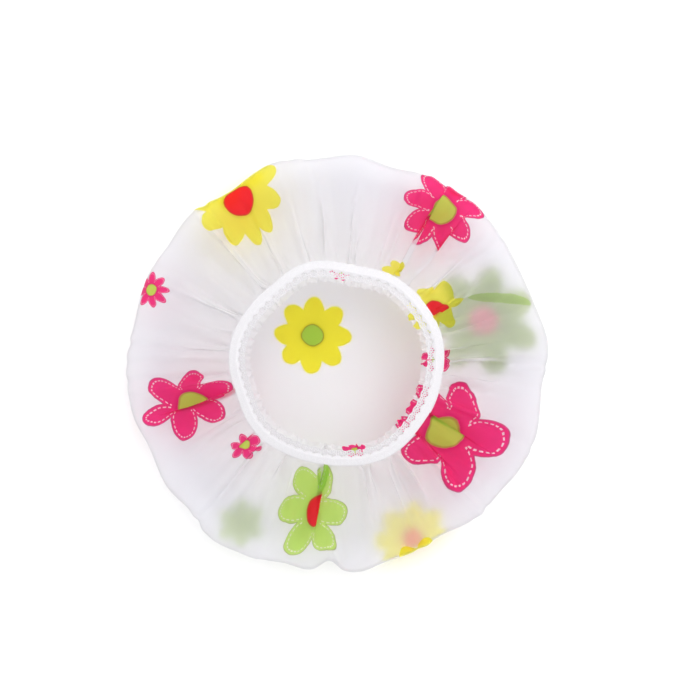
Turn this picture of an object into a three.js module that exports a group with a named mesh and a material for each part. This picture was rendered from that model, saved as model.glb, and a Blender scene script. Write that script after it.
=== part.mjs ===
// Shower cap lying crown down: a gathered round of film, drawn in at the mouth by
// an elastic strip under a lace band, with two rows of zigzag stitches.
// Millimetres, +Z up through the mouth, origin at the centre of the resting face.

import * as THREE from 'three';

// Film: a flat crown, a rounded bulge and a skirt that climbs to the rim
const FILM_WALL = 0.2;
const CROWN_RADIUS = 112;
const BULGE_RADIUS = 138;
const BULGE_HEIGHT = 15;
const BULGE_ROUND = 17; // how far the skirt first climbs straight up from the bulge
const SKIRT_REACH = 34; // how far the skirt runs in line with the rim before it
const FRILL_WIDTH = 2.6; // film past the lace, towards the mouth

// Folds that the gathers make in the film
const FOLD_COUNT = 14;
const BULGE_FOLD = 1.2; // half height of a fold at the widest ring
const SKIRT_FOLD = 2.4; // half height of a fold halfway up the skirt
const RUFFLE_COUNT = 24;
const RUFFLE_FOLD = 0.9; // half height of a ruffle at the cut edge
const FILM_COLUMNS = 96; // points round the film

// Lobes and notches of the outline: angle in degrees, how far out, half width in degrees
const LOBES = [
  [-127, 5, 7], [-113, 3, 6], [-92.4, -8.5, 3.5], [-83, 1.8, 5], [-71, -3.6, 8], [-57, -4, 8], [-32, 2, 7],
  [4, 1, 9], [28.4, -3, 9], [49.3, 3, 7], [72.5, -2, 8], [125, -1.5, 9], [180, 1, 8], [-165, 2, 7],
];
const LOBE_SPREAD = 28; // how far along the film a lobe fades out

// Rim: a cone that climbs towards the mouth
const RIM_RADIUS = 67; // lace's outer edge
const RIM_HEIGHT = 42; // film's mid-wall under that edge
const RIM_SLOPE = THREE.MathUtils.degToRad(30);
const RIM_LEAD = 2; // smooth film just outside the lace

// Lace band over the elastic
const LACE_THICKNESS = 0.6;
const LACE_MARGIN = 1.3; // lace outside the elastic
const LACE_SHOULDER = 1.2; // lace that slopes down to the film past the elastic
const OPENWORK_WIDTH = 4.2; // lace that lies on the film, to the middle of its scallops
const SCALLOP_DEPTH = 0.7; // scallops stand this far in and out
const SCALLOP_COUNT = 64;

// Elastic strip, with its ends butted
const ELASTIC_WIDTH = 6;
const ELASTIC_THICKNESS = 0.7;
const ELASTIC_STEPS = 96;
const BUTT_GAP = 0.5;
const BUTT_ANGLE = THREE.MathUtils.degToRad(-100);

// Thread and stitches
const THREAD_DIAMETER = 0.35;
const STITCH_COUNT = 48;
const OUTER_STITCH_REACH = 1.5; // half width of the zigzag through the elastic
const INNER_STITCH_REACH = 1.0; // half width of the zigzag through the openwork
const TACK_REACH = 1.6; // half width of the tack across the butted ends
const TACK_MARGIN = 0.8; // elastic left clear beside the tack
const TACK_TURNS = 7;

// Gap left between pieces that touch
const CLEARANCE = 0.3;

// Places along the rim, from the lace's outer edge towards the mouth
const elasticStart = LACE_MARGIN;
const elasticEnd = elasticStart + ELASTIC_WIDTH;
const crestEnd = elasticEnd + CLEARANCE;
const openworkStart = crestEnd + LACE_SHOULDER;
const laceEnd = openworkStart + OPENWORK_WIDTH;
const outerRow = elasticStart + ELASTIC_WIDTH / 2;
const innerRow = openworkStart + (OPENWORK_WIDTH - SCALLOP_DEPTH) / 2;

// Heights above the film's mid-wall, square to the rim
const seat = FILM_WALL / 2 + CLEARANCE;
const elasticTop = seat + ELASTIC_THICKNESS;
const tackMiddle = elasticTop + CLEARANCE + THREAD_DIAMETER / 2;
const crest = tackMiddle + THREAD_DIAMETER / 2 + CLEARANCE;
const threadRise = CLEARANCE + THREAD_DIAMETER / 2;

// Unit directions in the (radius, height) plane
const towardsMouth = new THREE.Vector2(-Math.cos(RIM_SLOPE), Math.sin(RIM_SLOPE));
const awayFromFilm = new THREE.Vector2(Math.sin(RIM_SLOPE), Math.cos(RIM_SLOPE));

// A point of the (radius, height) plane on the rim
function rimSpot(along, above) {
  return new THREE.Vector2(RIM_RADIUS, RIM_HEIGHT)
    .addScaledVector(towardsMouth, along)
    .addScaledVector(awayFromFilm, above);
}

// A spot of the (radius, height) plane, turned about the axis
function turned(spot, angle) {
  return new THREE.Vector3(spot.x * Math.cos(angle), spot.x * Math.sin(angle), spot.y);
}

function rimPoint(angle, along, above) {
  return turned(rimSpot(along, above), angle);
}

// An indexed solid, with its faces turned outwards
function solid(points, triangles) {
  const a = new THREE.Vector3();
  let volume = 0;
  for (const [i, j, k] of triangles) {
    volume += a.crossVectors(points[i], points[j]).dot(points[k]);
  }
  const outward = volume > 0 ? triangles : triangles.map(([i, j, k]) => [i, k, j]);
  const geometry = new THREE.BufferGeometry().setFromPoints(points);
  geometry.setIndex(outward.flat());
  geometry.computeVertexNormals();
  return geometry;
}

// Two triangles for each cell between two closed rows of points, cut by turns one way and the other
function band(first, second, count) {
  const triangles = [];
  for (let i = 0; i < count; i++) {
    const [a, b] = [first + i, first + (i + 1) % count];
    const [c, d] = [second + i, second + (i + 1) % count];
    if (i % 2) {
      triangles.push([a, b, d], [a, d, c]);
    } else {
      triangles.push([a, b, c], [b, d, c]);
    }
  }
  return triangles;
}

// A solid through a list of equal loops, joined end to end or capped
function loft(loops, closed) {
  const size = loops[0].length;
  const last = loops.length - 1;
  const triangles = [];
  for (let i = 0; i < last; i++) {
    triangles.push(...band(i * size, (i + 1) * size, size));
  }
  if (closed) {
    triangles.push(...band(last * size, 0, size));
  } else {
    for (let i = 1; i < size - 1; i++) {
      triangles.push([0, i + 1, i], [last * size, last * size + i, last * size + i + 1]);
    }
  }
  return solid(loops.flat(), triangles);
}

// Heights at an angle of a fold and a ruffle of unit height, the folds uneven in width and height
function foldWave(angle) {
  const uneven = 1 + 0.35 * Math.cos(3 * angle + 0.5) + 0.25 * Math.cos(5 * angle + 2.1);
  const drift = 0.9 * Math.cos(2 * angle + 1) + 0.7 * Math.cos(5 * angle + 4);
  return uneven * Math.sin(FOLD_COUNT * angle + drift);
}

function ruffleWave(angle) {
  return Math.cos(RUFFLE_COUNT * angle);
}

// How far the outline's lobes push the film out at an angle
function lobe(angle) {
  let total = 0;
  for (const [degrees, amount, width] of LOBES) {
    const turn = THREE.MathUtils.euclideanModulo(THREE.MathUtils.radToDeg(angle) - degrees + 180, 360) - 180;
    total += amount * Math.exp(-((turn / width) ** 2));
  }
  return total;
}

// Film's mid-wall from the crown's edge to the cut edge: place, normal, fold height and shape, share of lobes
function filmRings() {
  const middle = FILM_WALL / 2;
  const rings = [];
  let run = 0;
  const add = (spot, normal, fold, wave = foldWave) => {
    run += rings.length ? spot.distanceTo(rings[rings.length - 1].spot) : 0;
    rings.push({ spot, normal, fold, wave, run });
  };
  const down = new THREE.Vector2(0, -1);
  add(new THREE.Vector2(CROWN_RADIUS, middle), down, 0);

  const bulgeSteps = 3;
  const bulge = new THREE.EllipseCurve(
    CROWN_RADIUS, middle + BULGE_HEIGHT, BULGE_RADIUS - CROWN_RADIUS, BULGE_HEIGHT, -Math.PI / 2, 0);
  for (let i = 1; i <= bulgeSteps; i++) {
    const u = i / bulgeSteps;
    add(bulge.getPoint(u), outwardNormal(bulge, u), BULGE_FOLD * u);
  }

  const skirtSteps = 5;
  const start = bulge.getPoint(1);
  const end = rimSpot(-RIM_LEAD, 0);
  const skirt = new THREE.CubicBezierCurve(
    start, start.clone().add(new THREE.Vector2(0, BULGE_ROUND)),
    end.clone().addScaledVector(towardsMouth, -SKIRT_REACH), end);
  for (let i = 1; i <= skirtSteps; i++) {
    const u = i / skirtSteps;
    const fold = BULGE_FOLD * (1 - u) + (SKIRT_FOLD - BULGE_FOLD / 2) * Math.sin(Math.PI * u);
    add(skirt.getPoint(u), outwardNormal(skirt, u), fold);
  }

  const laceReach = laceEnd + SCALLOP_DEPTH;
  add(rimSpot(laceReach, 0), awayFromFilm, 0);
  add(rimSpot(laceReach + FRILL_WIDTH, 0), awayFromFilm, RUFFLE_FOLD, ruffleWave);

  const widest = rings[bulgeSteps].run;
  for (const ring of rings) {
    const share = Math.exp(-(((ring.run - widest) / LOBE_SPREAD) ** 2));
    ring.share = share > 0.05 && ring.run > 0 ? share : 0;
  }
  return rings;
}

// Right-hand side of a curve's run, which is the film's outer side
function outwardNormal(curve, u) {
  const run = curve.getTangent(u);
  return new THREE.Vector2(run.y, -run.x);
}

// Film as a thin wall: an outer and an inner skin that share the same folds
function filmSolid() {
  const rings = filmRings();
  const columns = FILM_COLUMNS;
  const points = [];
  const triangles = [];
  const starts = [];
  for (const side of [1, -1]) {
    const pole = points.length;
    points.push(new THREE.Vector3(0, 0, (1 - side) * FILM_WALL / 2));
    rings.forEach(({ spot, normal, fold, wave, share }, row) => {
      const start = points.length;
      for (let i = 0; i < columns; i++) {
        const angle = 2 * Math.PI * i / columns;
        const offset = fold * wave(angle) + side * FILM_WALL / 2;
        const place = spot.clone().addScaledVector(normal, offset);
        place.x += share * lobe(angle);
        points.push(turned(place, angle));
      }
      const skin = [];
      if (row === 0) {
        for (let i = 0; i < columns; i++) {
          skin.push([pole, start + i, start + (i + 1) % columns]);
        }
      } else {
        skin.push(...band(start, start - columns, columns));
      }
      triangles.push(...(side > 0 ? skin : skin.map(([i, j, k]) => [i, k, j])));
      starts.push(start);
    });
  }
  triangles.push(...band(starts[2 * rings.length - 1], starts[rings.length - 1], columns));
  return solid(points, triangles);
}

// Lace: raised over the elastic, then flat on the film to a scalloped edge
function laceSolid() {
  const steps = 2 * SCALLOP_COUNT;
  const loops = [];
  for (let i = 0; i < steps; i++) {
    const angle = 2 * Math.PI * i / steps;
    const edge = laceEnd + (i % 2 ? -SCALLOP_DEPTH : SCALLOP_DEPTH);
    const underside = [
      [0, seat], [elasticStart - CLEARANCE, crest], [crestEnd, crest], [openworkStart, seat], [edge, seat],
    ];
    const top = underside.map(([along, above]) => [along, above + LACE_THICKNESS]).reverse();
    loops.push([...underside, ...top].map(([along, above]) => rimPoint(angle, along, above)));
  }
  return loft(loops, true);
}

// Elastic: a flat strip that runs once round, with a gap between its ends
function elasticSolid() {
  const half = BUTT_GAP / 2 / rimSpot(elasticEnd, elasticTop).x;
  const loops = [];
  for (let i = 0; i <= ELASTIC_STEPS; i++) {
    const angle = BUTT_ANGLE + half + (2 * Math.PI - 2 * half) * i / ELASTIC_STEPS;
    const section = [
      [elasticStart, seat], [elasticEnd, seat], [elasticEnd, elasticTop], [elasticStart, elasticTop],
    ];
    loops.push(section.map(([along, above]) => rimPoint(angle, along, above)));
  }
  return loft(loops, false);
}

// One thread of a zigzag row, once round the rim
function threadSolid(along, above, reach) {
  const steps = 2 * STITCH_COUNT;
  const radius = THREAD_DIAMETER / 2;
  const section = [[radius, 0], [0, radius], [-radius, 0], [0, -radius]];
  const loops = [];
  for (let i = 0; i < steps; i++) {
    const angle = 2 * Math.PI * i / steps;
    const middle = along + (i % 2 ? -reach : reach);
    loops.push(section.map(([s, n]) => rimPoint(angle, middle + s, above + n)));
  }
  return loft(loops, true);
}

// Zigzag across the elastic's butted ends, on top of the elastic
function tackSolid() {
  const points = [];
  for (let i = 0; i <= TACK_TURNS; i++) {
    const along = elasticStart + TACK_MARGIN + (ELASTIC_WIDTH - 2 * TACK_MARGIN) * i / TACK_TURNS;
    const swing = (i % 2 ? -TACK_REACH : TACK_REACH) / rimSpot(along, tackMiddle).x;
    points.push(rimPoint(BUTT_ANGLE + swing, along, tackMiddle));
  }
  const path = new THREE.CatmullRomCurve3(points);
  const section = new THREE.Shape().absarc(0, 0, THREAD_DIAMETER / 2, 0, 2 * Math.PI);
  const sides = 3;
  return new THREE.ExtrudeGeometry(section, { steps: 6 * TACK_TURNS, curveSegments: sides, extrudePath: path });
}

// Materials
const filmMaterial = new THREE.MeshStandardMaterial({
  color: 0xeae8ee, roughness: 0.38, metalness: 0, transparent: true, opacity: 0.6,
});
const laceMaterial = new THREE.MeshStandardMaterial({ color: 0xf2f1f6, roughness: 0.75, metalness: 0 });
const elasticMaterial = new THREE.MeshStandardMaterial({ color: 0xf0eee9, roughness: 0.8, metalness: 0 });
const threadMaterial = new THREE.MeshStandardMaterial({ color: 0xf6f6f8, roughness: 0.6, metalness: 0 });

const cap = new THREE.Group();

function addPiece(name, geometry, material) {
  const mesh = new THREE.Mesh(geometry, material);
  mesh.name = name;
  cap.add(mesh);
}

const elasticCrest = crest + LACE_THICKNESS + threadRise;
const openworkTop = seat + LACE_THICKNESS + threadRise;
const underFilm = -FILM_WALL / 2 - threadRise;

addPiece('film_cap', filmSolid(), filmMaterial);
addPiece('lace_band', laceSolid(), laceMaterial);
addPiece('elastic_strip', elasticSolid(), elasticMaterial);
addPiece('elastic_end_tack', tackSolid(), threadMaterial);
addPiece('outer_needle_thread', threadSolid(outerRow, elasticCrest, OUTER_STITCH_REACH), threadMaterial);
addPiece('outer_bobbin_thread', threadSolid(outerRow, underFilm, OUTER_STITCH_REACH), threadMaterial);
addPiece('inner_needle_thread', threadSolid(innerRow, openworkTop, INNER_STITCH_REACH), threadMaterial);
addPiece('inner_bobbin_thread', threadSolid(innerRow, underFilm, INNER_STITCH_REACH), threadMaterial);

export default cap;
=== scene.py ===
"""Shower cap lying crown down: frosted printed film, gathered by a lace-covered elastic rim."""

import logging
import math
from dataclasses import dataclass, field
from enum import Enum
from functools import partial

import bpy
import numpy as np
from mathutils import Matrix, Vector
from mathutils.geometry import delaunay_2d_cdt


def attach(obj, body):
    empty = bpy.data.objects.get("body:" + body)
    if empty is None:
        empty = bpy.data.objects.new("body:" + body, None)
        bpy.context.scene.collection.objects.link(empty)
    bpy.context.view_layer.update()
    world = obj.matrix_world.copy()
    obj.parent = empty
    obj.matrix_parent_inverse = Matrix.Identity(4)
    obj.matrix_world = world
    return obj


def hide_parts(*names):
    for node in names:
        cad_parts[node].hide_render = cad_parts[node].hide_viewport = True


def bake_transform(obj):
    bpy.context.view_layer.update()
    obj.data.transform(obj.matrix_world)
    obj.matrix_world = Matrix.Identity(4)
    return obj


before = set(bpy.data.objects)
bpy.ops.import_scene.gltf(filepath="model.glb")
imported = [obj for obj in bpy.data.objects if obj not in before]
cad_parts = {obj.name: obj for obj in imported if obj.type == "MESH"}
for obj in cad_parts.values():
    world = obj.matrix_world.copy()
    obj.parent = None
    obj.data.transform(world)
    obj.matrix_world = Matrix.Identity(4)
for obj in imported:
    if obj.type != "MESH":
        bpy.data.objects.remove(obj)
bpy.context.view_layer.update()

LOG = logging.getLogger("shower_cap")
SEED = 20
TURN = 2.0 * math.pi
MILLIMETRES = 1000.0
SLACK = 1e-6
BUTT_ANGLE = math.radians(-100.0)

Number = float | np.ndarray
Colour = tuple[float, float, float, float]
MeshParts = tuple[np.ndarray, np.ndarray, np.ndarray]
BLACK: Colour = (0.0, 0.0, 0.0, 1.0)


# Helpers


def smooth_share(x: np.ndarray) -> np.ndarray:
    """Ease a share in and out between 0 and 1."""
    held = np.clip(x, 0.0, 1.0)
    return held * held * (3.0 - 2.0 * held)


def smooth_steps(x: np.ndarray, places: tuple[float, ...], values: tuple[float, ...]) -> np.ndarray:
    """Follow a few chosen values with a smooth curve that has no overshoot.

    Args:
        x: Where the curve is read.
        places: Places of the chosen values, rising.
        values: The chosen values.

    Returns:
        The curve at x.
    """
    at = np.clip(x, places[0], places[-1])
    index = np.clip(np.searchsorted(places, at, side="right") - 1, 0, len(places) - 2)
    low, high = np.take(places, index), np.take(places, index + 1)
    share = smooth_share((at - low) / (high - low))
    return np.take(values, index) * (1.0 - share) + np.take(values, index + 1) * share


def wander(angle: np.ndarray, rng: np.random.Generator, lowest: int, highest: int) -> np.ndarray:
    """Make a smooth random wave round a circle.

    Args:
        angle: Angles at which it is read.
        rng: Source of the random numbers.
        lowest: Fewest waves in a turn.
        highest: Most waves in a turn.

    Returns:
        The wave, with a spread of about 1.
    """
    total = np.zeros_like(angle)
    for count in range(lowest, highest + 1):
        total += rng.normal() * np.cos(count * angle + rng.uniform(0.0, TURN))
    return total / math.sqrt((highest - lowest + 1) / 2.0)


def angle_from(angle: np.ndarray, degrees: float) -> np.ndarray:
    """Angles as seen from a bearing in degrees, between minus and plus half a turn."""
    return (angle - math.radians(degrees) + math.pi) % TURN - math.pi


def polar_points(radius: np.ndarray, angle: np.ndarray, height: np.ndarray) -> np.ndarray:
    """Points from their radius, angle and height."""
    parts = np.broadcast_arrays(radius * np.cos(angle), radius * np.sin(angle), height)
    return np.stack(parts, axis=-1)


def sleeve(rings: int, columns: int) -> MeshParts:
    """Number the points of a sleeve of closed rings.

    Args:
        rings: How many rings there are.
        columns: How many points a ring has.

    Returns:
        Number of each point, number of the point beside it, and quads between the rings.
    """
    here = np.arange(rings * columns).reshape(rings, columns)
    beside = np.roll(here, -1, axis=1)
    quads = np.stack([here[:-1], here[1:], beside[1:], beside[:-1]], axis=2).reshape(-1, 4)
    return here, beside, quads


def mesh_object(name: str, points: np.ndarray, *faces: np.ndarray) -> bpy.types.Object:
    """Make an object from points and faces.

    Args:
        name: Name of the piece.
        points: Points in metres, one row each.
        faces: Corners of each face, one row each; quads and triangles in arrays of their own.

    Returns:
        The object, linked to the scene and shaded smooth.
    """
    mesh = bpy.data.meshes.new(name)
    corners = np.concatenate([kind.ravel() for kind in faces]).astype(np.int32)
    sizes = np.concatenate([np.full(len(kind), kind.shape[1]) for kind in faces])
    starts = np.concatenate([[0], np.cumsum(sizes)[:-1]]).astype(np.int32)
    mesh.vertices.add(len(points))
    mesh.vertices.foreach_set("co", np.ascontiguousarray(points, np.float32).ravel())
    mesh.loops.add(len(corners))
    mesh.loops.foreach_set("vertex_index", corners)
    mesh.polygons.add(len(sizes))
    mesh.polygons.foreach_set("loop_start", starts)
    mesh.update(calc_edges=True)
    mesh.polygons.foreach_set("use_smooth", np.ones(len(sizes), bool))
    mesh.validate()
    piece = bpy.data.objects.new(name, mesh)
    bpy.context.scene.collection.objects.link(piece)
    return piece


# Form of the cap


@dataclass(frozen=True)
class CapForm:
    """Section of the film, from the pole of the crown to its cut edge."""

    crown_radius: float = 0.112
    crown_lift: float = 0.0004
    bulge_radius: float = 0.138
    bulge_height: float = 0.015
    bulge_round: float = 0.017
    bulge_steps: int = 60
    skirt_reach: float = 0.034
    skirt_steps: int = 120
    rim_radius: float = 0.067
    rim_height: float = 0.042
    rim_slope: float = math.radians(30.0)
    rim_lead: float = 0.002
    lace_width: float = 0.013
    frill_width: float = 0.0033

    def rim_spot(self, along: Number, above: Number) -> tuple[Number, Number]:
        """Radius and height of a spot on the rim, along it towards the mouth and above the film."""
        climb, run = math.sin(self.rim_slope), math.cos(self.rim_slope)
        radius = self.rim_radius - along * run + above * climb
        return radius, self.rim_height + along * climb + above * run

    def section(self) -> tuple[np.ndarray, np.ndarray]:
        """Trace the film's section.

        Returns:
            Flat distance from the pole, and (radius, height) at each.
        """
        crown = np.array([[0.0, 0.0], [self.crown_radius, 0.0]])
        turn = np.linspace(-math.pi / 2.0, 0.0, self.bulge_steps)[1:]
        swell = self.bulge_radius - self.crown_radius
        bulge = np.stack(
            [self.crown_radius + swell * np.cos(turn), self.bulge_height * (1.0 + np.sin(turn))],
            axis=1,
        )
        first = bulge[-1]
        last = np.array(self.rim_spot(-self.rim_lead, 0.0))
        second = first + (0.0, self.bulge_round)
        third = np.array(self.rim_spot(-self.rim_lead - self.skirt_reach, 0.0))
        u = np.linspace(0.0, 1.0, self.skirt_steps)[1:, None]
        skirt = (1 - u) ** 3 * first + 3 * u * (1 - u) ** 2 * second
        skirt = skirt + 3 * u**2 * (1 - u) * third + u**3 * last
        edge = np.array([self.rim_spot(self.lace_width + self.frill_width, 0.0)])
        line = np.concatenate([crown, bulge, skirt, edge])
        line[:, 1] += self.crown_lift
        steps = np.linalg.norm(np.diff(line, axis=0), axis=1)
        return np.concatenate([[0.0], np.cumsum(steps)]), line


@dataclass(frozen=True)
class RimWarp:
    """Slow unevenness that the rim and the film round it share."""

    oval: float = 0.022
    sag: float = 0.0010
    sag_waves: tuple[int, int] = (2, 6)
    sway: float = 0.0007
    sway_waves: tuple[int, int] = (3, 11)
    inner: float = 0.078
    outer: float = 0.112
    foot: float = 0.018
    climb: float = 0.012
    least_radius: float = 0.01

    def move(self, points: np.ndarray) -> np.ndarray:
        """Move points that lie near the rim.

        Args:
            points: Points in any shape that ends in three.

        Returns:
            The moved points.
        """
        rng = np.random.default_rng(SEED + 1)
        radius = np.hypot(points[..., 0], points[..., 1])
        angle = np.arctan2(points[..., 1], points[..., 0])
        share = smooth_share((self.outer - radius) / (self.outer - self.inner))
        share = share * np.clip((points[..., 2] - self.foot) / self.climb, 0.0, 1.0)
        rise = self.sag * wander(angle, rng, *self.sag_waves)
        push = self.sway * wander(angle, rng, *self.sway_waves)
        scale = push / np.maximum(radius, self.least_radius)
        moved = points.copy()
        moved[..., 0] += share * points[..., 0] * (self.oval + scale)
        moved[..., 1] += share * points[..., 1] * (scale - self.oval)
        moved[..., 2] += share * rise
        return moved

    def apply(self, piece: bpy.types.Object) -> None:
        """Move the points of a finished piece.

        Args:
            piece: The piece.
        """
        flat = np.empty(3 * len(piece.data.vertices), np.float32)
        piece.data.vertices.foreach_get("co", flat)
        moved = self.move(flat.reshape(-1, 3).astype(float))
        piece.data.vertices.foreach_set("co", moved.astype(np.float32).ravel())
        piece.data.update()


@dataclass(frozen=True)
class FineFolds:
    """Fine gathers: how many, how uneven, and how far the film is drawn together out from the lace."""

    count: int = 66
    sway: float = 0.9
    sway_waves: tuple[int, int] = (2, 9)
    uneven: float = 0.45
    uneven_waves: tuple[int, int] = (4, 33)
    steepest: float = 2.2
    overtone: float = 0.3
    overtone_start: float = 1.1
    slow_turns: int = 12
    slow_heights: int = 40
    reach_uneven: float = 0.22
    reach_waves: tuple[int, int] = (5, 18)
    reach_range: tuple[float, float] = (0.5, 1.6)
    places: tuple[float, ...] = (-17.0, -14.0, -13.0, 0.0, 6.0, 14.0, 28.0, 45.0, 70.0)
    fullness: tuple[float, ...] = (1.35, 1.08, 1.03, 1.03, 1.20, 1.17, 1.06, 1.015, 1.0)
    most_swing: float = 2.3
    swing_steps: int = 200
    swing_samples: int = 256

    def lean(self, fullness: np.ndarray) -> np.ndarray:
        """Slope at which a wave of film draws together by a given fullness.

        Args:
            fullness: Length of the film over the length that it takes up.

        Returns:
            The slope.
        """
        swing = np.linspace(0.0, self.most_swing, self.swing_steps)
        around = np.linspace(0.0, TURN, self.swing_samples, endpoint=False)
        shrink = np.cos(swing[:, None] * np.sin(around)).mean(axis=1)
        return np.interp(-1.0 / fullness, -shrink, swing)


@dataclass(frozen=True)
class FoldWave:
    """Large folds: how many, and the slow waves (size, count, start) in their height and spacing."""

    count: int
    uneven: tuple[tuple[float, float, float], ...]
    drift: tuple[tuple[float, float, float], ...]

    @staticmethod
    def slow(angle: np.ndarray, waves: tuple[tuple[float, float, float], ...]) -> np.ndarray:
        """Add up slow waves."""
        return sum(size * np.cos(count * angle + start) for size, count, start in waves)

    def read(self, angle: np.ndarray) -> tuple[np.ndarray, np.ndarray]:
        """Read the folds.

        Args:
            angle: Angle of each column.

        Returns:
            Their height and their lean, as shares.
        """
        uneven = 1.0 + self.slow(angle, self.uneven)
        turn = self.count * angle + self.slow(angle, self.drift)
        return uneven * np.sin(turn), uneven * np.cos(turn)


@dataclass(frozen=True)
class Tuck:
    """A pleat that laps over itself: angle in degrees, sizes in metres, length and lead in millimetres."""

    angle: float
    width: float = 0.0045
    fold: float = 1.6
    height: float = 0.0009
    length: float = 45.0
    lean: float = 1.0
    lead: float = 6.0
    waist: float = 0.45
    waist_share: float = 0.75
    steepness: float = 2.3

    def held(self, out: np.ndarray) -> np.ndarray:
        """Share of the tuck that is left at a distance out from the lace, in millimetres."""
        places = (-self.lead, 0.0, self.waist * self.length, self.length)
        return smooth_steps(out, places, (0.0, 1.0, self.waist_share, 0.0))


@dataclass(frozen=True)
class Lobe:
    """A swell or a dent of the lying cap's outline: angle and width in degrees, reach in metres."""

    angle: float
    reach: float
    width: float


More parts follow.
